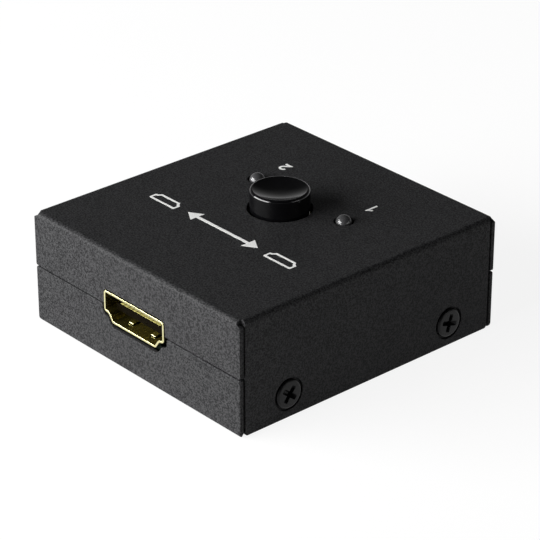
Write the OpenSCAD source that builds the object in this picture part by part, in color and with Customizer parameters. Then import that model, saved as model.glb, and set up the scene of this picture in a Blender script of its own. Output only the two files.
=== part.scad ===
// Two-way video switch box: two folded sheet shells round a board with three sockets,
// a sprung push switch under a round cap and two indicator lamps.
// Origin at the middle of the underside, +Z up. The single socket faces -Y, the pair +Y.

/* [Case] */
// Width of the case over its two screwed side faces
case_w = 51.2; // [48:0.1:64]
// Depth of the case over its two socket faces
case_d = 54.8; // [52:0.1:70]
// Height of the case from base plate to cover plate
case_h = 20.2; // [19:0.1:26]
// Thickness of the folded sheet
sheet = 0.8; // [0.6:0.1:1]
// Inside radius of every fold
fold_r = 0.05; // [0.05:0.05:0.5]
// Open gap where a side flange of the cover ends beside an end flange
corner_gap = 0.3; // [0.1:0.05:0.4]
// Gap of the seam between cover and base on the socket faces
seam_gap = 0.24; // [0.1:0.02:0.3]
// Corner radius of the end flanges beside the seam
seam_corner_r = 0.3; // [0.2:0.1:1]
// Width of the relief notch at each end of the cover's end folds
relief_w = 0.8; // [0.6:0.05:1]
// Height of the straight part of a relief notch
relief_h = 0.5; // [0.3:0.05:1]
// Height of the slanted shoulder of a relief notch
shoulder_h = 0.45; // [0.3:0.05:0.8]
// Rounding of the tip of a relief shoulder
shoulder_r = 0.15; // [0.1:0.05:0.4]
// Radius of the lower corners of the base's end flanges
base_corner_r = 0.4; // [0.2:0.1:0.8]
// Radius of the lower corners of the cover's side flanges
skirt_corner_r = 0.5; // [0.3:0.1:2]
// Lift of the cover's side flanges above the resting plane
skirt_lift = 0.1; // [0.05:0.05:0.3]
// Height of the base's folded side lips
lip_h = 7; // [6:0.5:9]
// Distance of a side lip's ends from the socket faces
lip_inset = 3; // [2:0.5:6]
// Clearance between a side lip and the cover flange outside it
lip_gap = 0.1; // [0.05:0.05:0.2]
// Width of the slot that frees a lip fold from the base plate's ends
lip_relief = 0.6; // [0.4:0.1:1]

/* [Case screws] */
// Distance of the side screws from the socket faces
cover_screw_inset = 10; // [8:0.2:14]
// Height of the side screws above the resting plane
cover_screw_z = 4.2; // [3.6:0.1:4.4]
// Thread diameter of the side screws
cover_screw_d = 2.5; // [2:0.5:3]
// Length of the side screws under the head
cover_screw_len = 2.8; // [2.4:0.2:4]
// Head diameter of the side screws
cover_head_d = 5; // [4.4:0.1:5.6]
// Head height of the side screws
cover_head_h = 0.65; // [0.6:0.05:1]
// Diameter of the round seat of each side screw's head
screw_seat_d = 5.7; // [5.6:0.05:6]
// Depth of a side screw's seat in the cover's sheet
screw_seat = 0.45; // [0.2:0.05:0.5]
// Rounding of a screw head's rim
head_rim_r = 0.35; // [0.2:0.05:0.5]
// Length across a cross recess
cross_len = 3.1; // [2:0.1:3.2]
// Width of a cross recess's slots
cross_w = 0.78; // [0.5:0.02:0.8]
// Depth of a cross recess
cross_depth = 0.55; // [0.4:0.05:0.8]
// Turn of the cross recess of the side screws near the single socket
near_screw_turn = 52; // [0:1:90]
// Turn of the cross recess of the side screws near the pair of sockets
far_screw_turn = 73; // [0:1:90]
// Room round a screw in the holes that it passes through
screw_clearance = 0.2; // [0.1:0.05:0.3]
// Room round a screw in the threads that hold it
thread_clearance = 0.05; // [0.02:0.01:0.1]

/* [Board] */
// Thickness of the circuit board
board_t = 1.6; // [1:0.2:2]
// Height of the standoffs between base plate and board
standoff_h = 5; // [4.4:0.1:6]
// Barrel diameter of the standoffs
standoff_d = 4.4; // [4:0.2:5.5]
// Width across the flats of the standoffs' hexagon feet
standoff_hex = 4.8; // [4.4:0.2:6]
// Gap between the board's edges and the sheet round it
board_gap = 0.5; // [0.3:0.1:1]
// Distance of the board screws from the board's side edges
board_screw_inset_x = 4.3; // [3.5:0.1:6]
// Distance of the near board screws from the board's near edge
board_screw_inset_near = 6; // [4:0.5:10]
// Distance of the far board screws from the board's far edge
board_screw_inset_far = 15; // [14:0.5:18]
// Thread diameter of the board screws
board_screw_d = 2.5; // [2:0.5:3]
// Head diameter of the board screws
board_head_d = 4.4; // [4:0.1:5]
// Head height of the board screws
board_head_h = 1.4; // [1:0.1:2]
// Length of the board screws under the head
board_screw_len = 4.6; // [3.6:0.2:5]
// Turn of the cross recess of the board screws
board_screw_turn = 15; // [0:1:90]

/* [Sockets] */
// Outside width of a socket shell
socket_w = 15; // [14.6:0.1:15.6]
// Outside height of a socket shell
socket_h = 5.3; // [5:0.1:5.6]
// Height of a socket shell's upright sides
socket_side_h = 3.7; // [3.4:0.05:4]
// Width of a socket shell between the inner ends of its two side ledges
socket_ledge_w = 12.7; // [12:0.1:13.4]
// Drop of a side ledge from the upright side to its inner end
socket_ledge_drop = 0.25; // [0.1:0.05:0.5]
// Width of a socket shell's flat floor
socket_floor_w = 10.8; // [10.4:0.1:11.4]
// Corner radius of a socket shell
socket_corner_r = 0.6; // [0.4:0.05:0.9]
// Wall of a socket shell
socket_wall = 0.35; // [0.25:0.05:0.4]
// Depth of a socket shell from its mouth
socket_len = 11.4; // [10.5:0.1:12]
// Reach of a socket's mouth past the end face
socket_proud = 0.1; // [0:0.05:0.4]
// Height of a socket's middle above the board
socket_rise = 2.9; // [2.8:0.05:3.4]
// Distance between the middles of the two far sockets
port_pitch = 22; // [21:0.5:26]
// Room round a socket in the cover's cut-outs
cutout_gap = 0.15; // [0.1:0.05:0.3]
// Room round a socket in the base's cut-outs
base_cutout_gap = 0.5; // [0.2:0.05:0.55]
// Extra room below a socket in the base's cut-outs
cutout_drop = 0.4; // [0:0.05:0.5]
// Width of the contact tongue
tongue_w = 11.4; // [11:0.1:12]
// Thickness of the contact tongue
tongue_t = 1.2; // [1:0.1:1.4]
// Distance of the tongue's front edge behind the socket's mouth
tongue_recess = 1.2; // [0.9:0.1:1.6]
// Thickness of the insulator's rear block
block_t = 2.2; // [1.8:0.1:3]
// Room between the rear block and its shell
block_gap = 0.05; // [0.02:0.01:0.1]
// Sideways spacing of neighbouring contacts on alternate tongue faces
contact_pitch = 0.5; // [0.45:0.01:0.52]
// Width of a contact behind the tongue
contact_w = 0.3; // [0.25:0.01:0.36]
// Width of a contact's pad on the tongue
contact_pad_w = 0.85; // [0.4:0.05:0.9]
// Thickness of a contact
contact_t = 0.2; // [0.15:0.01:0.25]
// Height of a contact above its tongue face
contact_raise = 0.06; // [0.03:0.01:0.1]
// Distance of a contact's tip behind the tongue's front edge
contact_setback = 0.2; // [0.1:0.05:0.8]
// Length of a contact's solder foot
contact_foot = 0.8; // [0.5:0.1:1.2]
// Width of a spring finger in a shell's floor or roof
finger_w = 1; // [0.8:0.1:2.2]
// Length of a spring finger
finger_len = 4.4; // [3.6:0.1:5]
// Distance of a finger's tip behind the socket's mouth
finger_setback = 1.7; // [1.4:0.1:2.2]
// Reach of a finger's bump into the socket
finger_reach = 0.45; // [0.2:0.05:0.6]
// Slot round a finger
finger_slot = 0.25; // [0.2:0.05:0.4]
// Sideways spacing of the two fingers in one wall
finger_pitch = 5.6; // [4.8:0.1:6.4]
// Width of a shell's board legs
leg_w = 1.2; // [0.8:0.1:1.6]
// Distance of a shell's first board legs behind its mouth
leg_near = 3; // [2.6:0.1:4]
// Distance of a shell's last board legs behind its mouth
leg_far = 9; // [8:0.1:9.6]
// Reach of legs, leads and pins past the board's underside
solder_tail = 0.9; // [0.5:0.1:1.5]
// Room round legs, leads and pins in the board
lead_clearance = 0.15; // [0.1:0.05:0.2]

/* [Button] */
// Diameter of the button cap
cap_d = 10; // [9:0.1:11]
// Height of the cap's rim above the cover plate
cap_proud = 3.5; // [2.5:0.1:5]
// Whole height of the cap
cap_h = 6; // [5:0.1:7]
// Rounding of the cap's outer edge
cap_edge_r = 0.45; // [0.3:0.05:0.7]
// Depth of the dish in the cap's top
dish_depth = 0.5; // [0.2:0.05:0.8]
// Thickness of the cap's skirt
cap_wall = 1; // [0.8:0.1:1.2]
// Thickness of the cap above its hollow
cap_roof = 1.6; // [1.3:0.1:2]
// Room between cap and cover hole, on the radius
cap_gap = 0.42; // [0.35:0.01:0.6]
// Distance of the button from the middle of the case towards the far sockets
button_y = 3.4; // [1:0.1:5]
// Travel of the button
travel = 1.8; // [1:0.1:2]

/* [Push switch] */
// Width of the square switch body
switch_w = 8.5; // [8:0.1:9.5]
// Wall of the switch housing
switch_wall = 1; // [0.8:0.1:1.1]
// Thickness of the housing's floor
switch_floor = 1; // [0.8:0.1:1.4]
// Thickness of the metal top frame
frame_t = 0.6; // [0.4:0.1:0.8]
// Length of the frame's folded side clips
clip_len = 4; // [3:0.1:4.4]
// Width of the frame's folded side clips
clip_w = 3; // [2:0.1:5]
// Thickness of the frame's side clips
clip_t = 0.4; // [0.3:0.1:0.6]
// Width of the square plunger stem
stem_w = 3.2; // [2.8:0.1:3.4]
// Room between stem and frame, and between plunger foot and housing
slide_gap = 0.3; // [0.25:0.01:0.4]
// Thickness of the plunger's foot
foot_t = 1.2; // [0.8:0.1:1.4]
// Gap under the frame at the plunger's upper stop
stop_gap = 0.1; // [0.05:0.01:0.15]
// Room between the plunger stem and the cap's square socket
stem_fit = 0.04; // [0.02:0.01:0.06]
// Depth of the stem in the cap's socket
stem_grip = 4; // [3:0.1:4.2]
// Gap left between the pressed cap and the switch below it
press_gap = 0.5; // [0.3:0.1:1]
// Thickness of the contact bridge
bridge_t = 0.2; // [0.15:0.05:0.3]
// Margin of the contact bridge inside the foot's edge and round the spring
bridge_margin = 0.2; // [0.1:0.05:0.3]
// Wire diameter of the return spring
spring_wire = 0.4; // [0.3:0.05:0.5]
// Coil diameter of the return spring at the middle of its wire
spring_d = 3.2; // [2.9:0.05:3.4]
// Turns of the return spring
spring_turns = 4; // [3:1:5]
// Diameter of the guide post in the spring
post_d = 2; // [1.4:0.1:2.2]
// Width of a square switch terminal
terminal_w = 0.5; // [0.4:0.05:0.6]
// Spacing of the switch terminals both ways
terminal_pitch = 4.6; // [4.4:0.1:4.8]

/* [Lamps] */
// Diameter of a lamp's body
led_d = 2.7; // [2.6:0.1:3.2]
// Height of a lamp from its base to its tip
led_h = 5.3; // [4.5:0.1:6]
// Height of a lamp's tip above the cover plate
led_proud = 1.1; // [0.5:0.1:1.4]
// Diameter of a lamp's base flange
led_flange_d = 3.7; // [3.5:0.1:4.2]
// Thickness of a lamp's base flange
led_flange_t = 1; // [0.6:0.1:1.4]
// Room between lamp and cover hole, on the radius
led_gap = 0.33; // [0.1:0.01:0.4]
// Distance of each lamp from the middle plane
led_x = 10.6; // [9.5:0.1:11.5]
// Distance of the lamps beyond the button, towards the far sockets
led_offset = 4.4; // [3:0.1:5]
// Diameter of a lamp's spacer
spacer_d = 4.6; // [4.4:0.1:5]
// Width of a square lamp lead
lead_w = 0.5; // [0.4:0.05:0.6]
// Spacing of a lamp's two leads
lead_pitch = 2.54; // [2.3:0.02:2.6]
// Height of the lead frame inside a lamp
lead_frame_h = 2.4; // [1.5:0.1:2.6]
// Width of the lead frame's blades along the pitch
blade_w = 0.8; // [0.6:0.05:1]

/* [Chips] */
// Body length of the switching chip
ic_l = 12.4; // [10:0.1:14]
// Body width of the switching chip
ic_w = 4.4; // [4:0.1:6]
// Body thickness of the switching chip
ic_t = 1; // [0.8:0.1:1.4]
// Lead count on each side of the switching chip
ic_leads_side = 22; // [12:1:22]
// Lead pitch of the switching chip
ic_pitch = 0.5; // [0.4:0.05:0.55]
// Distance of the switching chip before the middle of the case
ic_y = 8; // [7:0.1:9]
// Body length of the controller chip
controller_l = 4.9; // [4:0.1:6]
// Body width of the controller chip
controller_w = 3.9; // [3:0.1:5]
// Body thickness of the controller chip
controller_t = 1.4; // [1:0.1:1.8]
// Lead count on each side of the controller chip
controller_leads_side = 4; // [3:1:4]
// Lead pitch of the controller chip
controller_pitch = 1.27; // [1:0.01:1.27]
// Sideways distance of the controller chip from the middle plane
controller_x = 14; // [12.5:0.1:15.5]
// Distance of the controller chip before the middle of the case
controller_y = 3.2; // [1:0.1:5]
// Gap between a chip's body and the board
chip_standoff = 0.1; // [0.05:0.01:0.2]
// Reach of a chip's leads past its body
gull_reach = 1; // [0.8:0.1:1.2]
// Thickness of a chip's leads
gull_t = 0.15; // [0.1:0.01:0.2]
// Share of the pitch that a chip's lead fills
gull_fill = 0.45; // [0.3:0.01:0.5]
// Length of a chip resistor or capacitor
chip_l = 1.6; // [1:0.1:2]
// Width of a chip resistor or capacitor
chip_w = 0.8; // [0.5:0.05:1.25]
// Thickness of a chip resistor
resistor_t = 0.45; // [0.3:0.05:0.6]
// Thickness of a chip capacitor
capacitor_t = 0.8; // [0.5:0.05:1.25]
// Spacing of neighbouring chips in a row
chip_pitch = 2; // [1.6:0.1:2.4]
// Chips in a row
chip_count = 6; // [2:1:7]
// Distance of the first chip in each row from the board's near edge
chip_row_y = 12.2; // [11.2:0.1:12.7]
// Sideways distance of the chip rows from the middle plane
chip_row_x = 12; // [10:0.1:14]

/* [Hidden] */
$fn = 64;
arc_steps = 6;
eps = 0.01;
far = 200;

fold_out = fold_r + sheet;
half_w = case_w / 2;
half_d = case_d / 2;
fold_half_w = half_w - relief_w;
side_half_d = half_d - sheet - corner_gap;
lip_out = half_w - sheet - lip_gap;
lip_in = lip_out - sheet;
lip_half_d = half_d - lip_inset;
cover_screw_y = half_d - cover_screw_inset;

board_bottom = sheet + standoff_h;
board_top = board_bottom + board_t;
board_half_w = lip_in - board_gap;
board_half_d = half_d - sheet - board_gap;
tail_z = board_bottom - solder_tail;
board_screw_x = board_half_w - board_screw_inset_x;
board_screw_places = [
    for (side = [-1, 1], y = [board_screw_inset_near - board_half_d, board_half_d - board_screw_inset_far])
        [side * board_screw_x, y]
];

socket_z = board_top + socket_rise;
seam_z = socket_z;
mouth_y = half_d + socket_proud;
roof_in = socket_h / 2 - socket_wall;
leg_places = [leg_near, leg_far];
contact_rows = [for (i = [-9 : 9]) [i * contact_pitch, i % 2 == 0 ? -1 : 1]];

cap_top = case_h + cap_proud;
cap_bottom = cap_top - cap_h;
cap_hole_r = cap_d / 2 + cap_gap;
dish_r = cap_d / 2 - cap_edge_r;
dish_ball_r = (dish_r * dish_r + dish_depth * dish_depth) / (2 * dish_depth);
stem_top = cap_bottom + stem_grip;
boss_w = stem_w + 2 * cap_wall;

frame_top = cap_bottom - travel - press_gap;
housing_top = frame_top - frame_t;
cavity_w = switch_w - 2 * switch_wall;
cavity_floor = board_top + switch_floor;
foot_w = cavity_w - 2 * slide_gap;
foot_top = housing_top - stop_gap;
foot_bottom = foot_top - foot_t;
bridge_w = foot_w - 2 * bridge_margin;
bridge_hole_d = spring_d + spring_wire + 2 * bridge_margin;
bridge_bottom = foot_bottom - bridge_t;
terminal_top = bridge_bottom - travel - stop_gap;
terminal_places = [for (x = [-1, 1], y = [-1, 1]) [x, y] * terminal_pitch / 2 + [0, button_y]];
post_bottom = cavity_floor + travel + 2 * stop_gap;
spring_ring_sides = 6;
spring_rings_turn = 8;

led_y = button_y + led_offset;
led_tip = case_h + led_proud;
led_base = led_tip - led_h;
led_hole_r = led_d / 2 + led_gap;

case_black = "#2e2e30";
screw_black = "#1c1c1e";
steel = "#c9ccd0";
gold = "#d8b65a";
black_plastic = "#151517";
board_green = "#1f5b39";
lens_grey = "#9aa0a6";
white_plastic = "#e6e4de";

// Unit vector along v
function unit(v) = v / norm(v);

// Points of the arc that rounds corner v between its neighbours p and q
function corner_arc(p, v, q, r) =
    let (
        u = unit(p - v),
        w = unit(q - v),
        half = acos(u * w) / 2,
        centre = v + unit(u + w) * r / sin(half),
        start = v + u * r / tan(half) - centre,
        stop = v + w * r / tan(half) - centre,
        a = atan2(start.y, start.x),
        raw = atan2(stop.y, stop.x) - a,
        sweep = raw > 180 ? raw - 360 : raw < -180 ? raw + 360 : raw
    )
    [for (k = [0 : arc_steps])
        let (turn = a + sweep * k / arc_steps)
        centre + r * [cos(turn), sin(turn)]];

// Closed outline through points, each corner rounded by its own radius, 0 leaves it sharp
function rounded(points, radii) =
    let (n = len(points))
    [for (i = [0 : n - 1])
        each radii[i] > 0
            ? corner_arc(points[(i + n - 1) % n], points[i], points[(i + 1) % n], radii[i])
            : [points[i]]];

// Unit vector square to v, on its left
function left_of(v) = unit([-v.y, v.x]);

// Corners of a clockwise outline moved out so that every side moves by g
function grown(points, g) =
    let (n = len(points))
    [for (i = [0 : n - 1])
        let (
            before = left_of(points[i] - points[(i + n - 1) % n]),
            after = left_of(points[(i + 1) % n] - points[i])
        )
        points[i] + g * (before + after) / (1 + before * after)];

// Outline in X and Z pushed through Y
module along_y(y0, y1) {
    translate([0, y1, 0])
        rotate([90, 0, 0])
            linear_extrude(y1 - y0)
                children();
}

// Outline in Y and Z pushed through X
module along_x(x0, x1) {
    translate([x0, 0, 0])
        rotate([90, 0, 90])
            linear_extrude(x1 - x0)
                children();
}

// Outline in X and Y pushed through Z
module along_z(z0, z1) {
    translate([0, 0, z0])
        linear_extrude(z1 - z0)
            children();
}

// Copies on both sides of the middle plane, and at both ends
module both_sides() {
    for (side = [0, 1])
        mirror([side, 0, 0])
            children();
}

module both_ends() {
    for (side = [0, 1])
        mirror([0, side, 0])
            children();
}

// Quarter ring of a fold, from the plate's direction +Y round to a flange below it
module fold_profile() {
    intersection() {
        difference() {
            circle(fold_out);
            circle(fold_r);
        }
        square(fold_out);
    }
}

// Upright end wall with its fold, seen from the side, below a plate whose outer face is at z = 0
module end_profile(depth) {
    translate([half_d - fold_out, -fold_out])
        fold_profile();
    translate([half_d - sheet, -depth])
        square([sheet, depth - fold_out]);
}

// Outline of a socket shell, grown all round by g
module socket_outline(g) {
    side_x = socket_w / 2;
    roof_z = socket_h / 2;
    knee_z = roof_z - socket_side_h;
    ledge_x = socket_ledge_w / 2;
    ledge_z = knee_z - socket_ledge_drop;
    floor_x = socket_floor_w / 2;
    out_r = socket_corner_r + g;
    in_r = socket_corner_r - g;
    polygon(rounded(
        grown([[-side_x, roof_z], [side_x, roof_z], [side_x, knee_z], [ledge_x, ledge_z], [floor_x, -roof_z],
               [-floor_x, -roof_z], [-ledge_x, ledge_z], [-side_x, knee_z]], g),
        [out_r, out_r, out_r, in_r, out_r, out_r, in_r, out_r]
    ));
}

// Socket cut-out in an end face, in X and Z, with room all round and extra room below
module socket_cutout(room, extra) {
    for (drop = [0, extra])
        translate([0, socket_z - drop])
            socket_outline(room);
}

module common_cutout(room, extra) {
    along_y(-far, 0)
        socket_cutout(room, extra);
}

module port_cutouts(room, extra) {
    for (side = [-1, 1])
        along_y(0, far)
            translate([side * port_pitch / 2, 0])
                socket_cutout(room, extra);
}

// Round seats of the side screws' heads in the cover's side flanges
module screw_seats() {
    both_sides()
        along_x(half_w - screw_seat, far)
            for (end = [-1, 1])
                translate([end * cover_screw_y, cover_screw_z])
                    circle(screw_seat_d / 2);
}

module top_cover() {
    notch_z = case_h - relief_h;
    shoulder_z = notch_z - shoulder_h;
    edge_z = seam_z + seam_gap / 2;
    end_outline = rounded(
        [[-half_w, edge_z], [half_w, edge_z],
         [half_w, shoulder_z], [fold_half_w, notch_z], [fold_half_w, case_h],
         [-fold_half_w, case_h], [-fold_half_w, notch_z], [-half_w, shoulder_z]],
        [seam_corner_r, seam_corner_r, shoulder_r, 0, 0, 0, 0, shoulder_r]
    );
    skirt_outline = rounded(
        [[-side_half_d, skirt_lift], [side_half_d, skirt_lift],
         [side_half_d, case_h - fold_out], [-side_half_d, case_h - fold_out]],
        [skirt_corner_r, skirt_corner_r, 0, 0]
    );
    color(case_black)
        difference() {
            union() {
                along_z(case_h - sheet, case_h)
                    difference() {
                        square([case_w - 2 * fold_out, case_d - 2 * fold_out], center = true);
                        translate([0, button_y])
                            circle(cap_hole_r);
                        for (side = [-1, 1])
                            translate([side * led_x, led_y])
                                circle(led_hole_r);
                    }
                both_sides() {
                    translate([half_w - fold_out, side_half_d, case_h - fold_out])
                        rotate([90, 0, 0])
                            linear_extrude(2 * side_half_d)
                                fold_profile();
                    along_x(half_w - sheet, half_w)
                        difference() {
                            polygon(skirt_outline);
                            for (side = [-1, 1])
                                translate([side * cover_screw_y, cover_screw_z])
                                    circle(cover_screw_d / 2 + screw_clearance);
                        }
                }
                both_ends()
                    intersection() {
                        along_x(-half_w, half_w)
                            translate([0, case_h])
                                end_profile(case_h - seam_z);
                        along_y(0, far)
                            polygon(end_outline);
                    }
            }
            common_cutout(cutout_gap, 0);
            port_cutouts(cutout_gap, 0);
            screw_seats();
        }
}

module bottom_shell() {
    edge_z = seam_z - seam_gap / 2;
    end_outline = rounded(
        [[-half_w, 0], [half_w, 0], [half_w, edge_z], [-half_w, edge_z]],
        [base_corner_r, base_corner_r, seam_corner_r, seam_corner_r]
    );
    lip_slot = lip_half_d + lip_relief;
    color(case_black)
        difference() {
            union() {
                along_z(0, sheet) {
                    square([2 * (lip_out - fold_out), case_d - 2 * fold_out], center = true);
                    both_ends()
                        translate([-lip_out, lip_slot])
                            square([2 * lip_out, half_d - fold_out - lip_slot]);
                }
                both_sides() {
                    translate([lip_out - fold_out, -lip_half_d, fold_out])
                        rotate([-90, 0, 0])
                            linear_extrude(2 * lip_half_d)
                                fold_profile();
                    along_x(lip_in, lip_out)
                        difference() {
                            translate([-lip_half_d, fold_out])
                                square([2 * lip_half_d, lip_h - fold_out]);
                            for (side = [-1, 1])
                                translate([side * cover_screw_y, cover_screw_z])
                                    circle(cover_screw_d / 2 + thread_clearance);
                        }
                }
                both_ends()
                    intersection() {
                        along_x(-half_w, half_w)
                            mirror([0, 1])
                                end_profile(seam_z);
                        along_y(0, far)
                            polygon(end_outline);
                    }
            }
            common_cutout(base_cutout_gap, cutout_drop);
            port_cutouts(base_cutout_gap, cutout_drop);
            for (place = board_screw_places)
                translate([place.x, place.y, -eps])
                    hex_foot(sheet + 2 * eps);
        }
}

// Screw along +Z with its head above z = 0, a rounded rim and a cross recess
module cross_screw(d, len, head_d, head_h, turn) {
    rim = min(head_rim_r, head_h / 2);
    difference() {
        union() {
            rotate_extrude() {
                square([head_d / 2, head_h - rim]);
                square([head_d / 2 - rim, head_h]);
                translate([head_d / 2 - rim, head_h - rim])
                    intersection() {
                        circle(rim);
                        square(rim);
                    }
            }
            translate([0, 0, -len])
                cylinder(d = d, h = len + eps);
        }
        for (quarter = [0, 90])
            rotate(turn + quarter)
                translate([-cross_len / 2, -cross_w / 2, head_h - cross_depth])
                    cube([cross_len, cross_w, cross_depth + eps]);
    }
}

module cover_screws() {
    color(screw_black)
        for (side = [0, 1], end = [-1, 1])
            mirror([side, 0, 0])
                translate([half_w - screw_seat, end * cover_screw_y, cover_screw_z])
                    rotate([0, 90, 0])
                        cross_screw(cover_screw_d, cover_screw_len, cover_head_d, cover_head_h,
                                    end < 0 ? near_screw_turn : far_screw_turn);
}

module board_slot(x, y, wx, wy) {
    translate([x - wx / 2 - lead_clearance, y - wy / 2 - lead_clearance])
        square([wx + 2 * lead_clearance, wy + 2 * lead_clearance]);
}

module leg_slots() {
    for (side = [-1, 1], y = leg_places)
        board_slot(side * (socket_w - socket_wall) / 2, y, socket_wall, leg_w);
}

// Children placed at each socket's mouth, looking into the case along +Y
module at_common() {
    translate([0, -mouth_y, 0])
        children();
}

module at_port(side) {
    translate([side * port_pitch / 2, mouth_y, 0])
        rotate(180)
            children();
}

// Notches in the board's sides for the ends of the side screws
module screw_notches() {
    reach = screw_seat + cover_screw_len + screw_clearance;
    notch = [2 * reach, cover_screw_d + 2 * screw_clearance];
    for (side = [-1, 1], end = [-1, 1])
        translate([side * half_w, end * cover_screw_y])
            square(notch, center = true);
}

module circuit_board() {
    color(board_green)
        along_z(board_bottom, board_top)
            difference() {
                square([2 * board_half_w, 2 * board_half_d], center = true);
                screw_notches();
                for (place = board_screw_places)
                    translate(place)
                        circle(board_screw_d / 2 + screw_clearance);
                at_common()
                    leg_slots();
                for (side = [-1, 1])
                    at_port(side)
                        leg_slots();
                for (place = terminal_places)
                    board_slot(place.x, place.y, terminal_w, terminal_w);
                for (lamp = [-1, 1], lead = [-1, 1])
                    board_slot(lamp * led_x + lead * lead_pitch / 2, led_y, lead_w, lead_w);
            }
}

// Hexagon foot of a standoff, flush in the base plate
module hex_foot(h) {
    cylinder(d = standoff_hex / cos(30), h = h, $fn = 6);
}

module board_standoffs() {
    color(steel)
        for (place = board_screw_places)
            translate([place.x, place.y, 0])
                difference() {
                    union() {
                        hex_foot(sheet);
                        translate([0, 0, sheet])
                            cylinder(d = standoff_d, h = standoff_h);
                    }
                    translate([0, 0, sheet])
                        cylinder(d = board_screw_d + 2 * thread_clearance, h = standoff_h + eps);
                }
}

module board_screws() {
    color(steel)
        for (place = board_screw_places)
            translate([place.x, place.y, board_top])
                cross_screw(board_screw_d, board_screw_len, board_head_d, board_head_h, board_screw_turn);
}

// Spring finger bent up from a floor whose inner face is at z = 0, seen from the side
module finger_profile() {
    root_y = finger_setback + finger_len;
    crest_y = finger_setback + finger_len / 4;
    polygon([
        [root_y + eps, -socket_wall], [root_y + eps, 0],
        [crest_y, finger_reach], [finger_setback, finger_reach / 2],
        [finger_setback, finger_reach / 2 - socket_wall], [crest_y, finger_reach - socket_wall]
    ]);
}

module fingers() {
    for (x = [-1, 1], flip = [0, 1])
        mirror([0, 0, flip])
            translate([x * finger_pitch / 2, 0, -roof_in])
                along_x(-finger_w / 2, finger_w / 2)
                    finger_profile();
}

module finger_windows() {
    for (x = [-1, 1], flip = [0, 1])
        mirror([0, 0, flip])
            translate([x * finger_pitch / 2 - finger_w / 2 - finger_slot, finger_setback - finger_slot,
                       -roof_in - 2 * socket_wall])
                cube([finger_w + 2 * finger_slot, finger_len + finger_slot, 3 * socket_wall]);
}

// Gold-plated tube of a socket, mouth at y = 0 and middle at z = 0, with its legs into the board
module socket_shell() {
    leg_top = socket_h / 2 - socket_side_h;
    leg_bottom = tail_z - socket_z;
    color(gold) {
        difference() {
            along_y(0, socket_len)
                difference() {
                    socket_outline(0);
                    socket_outline(-socket_wall);
                }
            finger_windows();
        }
        fingers();
        both_sides()
            for (y = leg_places)
                translate([socket_w / 2 - socket_wall, y - leg_w / 2, leg_bottom])
                    cube([socket_wall, leg_w, leg_top + socket_corner_r - leg_bottom]);
    }
}

// One contact from its tip on the tongue, through the rear block, down to its foot on the board
module contact_profile(face) {
    z0 = face * (tongue_t / 2 + contact_raise - contact_t / 2);
    tip = tongue_recess + contact_setback;
    drop_y = socket_len + contact_foot;
    board_z = -socket_rise;
    polygon([
        [tip, z0 - contact_t / 2], [tip, z0 + contact_t / 2],
        [drop_y, z0 + contact_t / 2], [drop_y, board_z + contact_t],
        [drop_y + contact_foot, board_z + contact_t], [drop_y + contact_foot, board_z],
        [drop_y - contact_t, board_z], [drop_y - contact_t, z0 - contact_t / 2]
    ]);
}

// Pad of a contact along the tongue, up to the rear block
module pad_profile(face) {
    tip = tongue_recess + contact_setback;
    translate([tip, face * (tongue_t / 2 + contact_raise - contact_t / 2) - contact_t / 2])
        square([socket_len - block_t - tip, contact_t]);
}

module contact_set() {
    for (row = contact_rows) {
        along_x(row.x - contact_w / 2, row.x + contact_w / 2)
            contact_profile(row.y);
        along_x(row.x - contact_pad_w / 2, row.x + contact_pad_w / 2)
            pad_profile(row.y);
    }
}

module socket_contacts() {
    color(gold)
        contact_set();
}

// Moulded tongue and rear block of a socket
module socket_insulator() {
    color(black_plastic)
        difference() {
            union() {
                along_y(socket_len - block_t, socket_len)
                    socket_outline(-socket_wall - block_gap);
                translate([-tongue_w / 2, tongue_recess, -tongue_t / 2])
                    cube([tongue_w, socket_len - block_t - tongue_recess + eps, tongue_t]);
            }
            contact_set();
        }
}

module common_shell() {
    at_common()
        translate([0, 0, socket_z])
            socket_shell();
}

module common_insulator() {
    at_common()
        translate([0, 0, socket_z])
            socket_insulator();
}

module common_contacts() {
    at_common()
        translate([0, 0, socket_z])
            socket_contacts();
}

module port_1_shell() {
    at_port(1)
        translate([0, 0, socket_z])
            socket_shell();
}

module port_1_insulator() {
    at_port(1)
        translate([0, 0, socket_z])
            socket_insulator();
}

module port_1_contacts() {
    at_port(1)
        translate([0, 0, socket_z])
            socket_contacts();
}

module port_2_shell() {
    at_port(-1)
        translate([0, 0, socket_z])
            socket_shell();
}

module port_2_insulator() {
    at_port(-1)
        translate([0, 0, socket_z])
            socket_insulator();
}

module port_2_contacts() {
    at_port(-1)
        translate([0, 0, socket_z])
            socket_contacts();
}

// Square block of side w centred on the button's axis
module button_block(w, z0, z1) {
    translate([-w / 2, button_y - w / 2, z0])
        cube([w, w, z1 - z0]);
}

module button_disc(d, z0, z1) {
    translate([0, button_y, z0])
        cylinder(d = d, h = z1 - z0);
}

module button_cap() {
    color(black_plastic)
        difference() {
            translate([0, button_y, 0])
                rotate_extrude()
                    difference() {
                        union() {
                            translate([0, cap_bottom])
                                square([cap_d / 2, cap_h - cap_edge_r]);
                            translate([0, cap_bottom])
                                square([dish_r, cap_h]);
                            translate([dish_r, cap_top - cap_edge_r])
                                intersection() {
                                    circle(cap_edge_r);
                                    square(cap_edge_r);
                                }
                        }
                        intersection() {
                            translate([0, cap_top - dish_depth + dish_ball_r])
                                circle(dish_ball_r, $fn = 256);
                            translate([0, cap_top - cap_h])
                                square([dish_r, 2 * cap_h]);
                        }
                    }
            difference() {
                button_disc(cap_d - 2 * cap_wall, cap_bottom - eps, cap_top - cap_roof);
                button_block(boss_w, cap_bottom - 2 * eps, cap_top);
            }
            button_block(stem_w + 2 * stem_fit, cap_bottom - eps, stem_top + stem_fit);
        }
}

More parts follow.
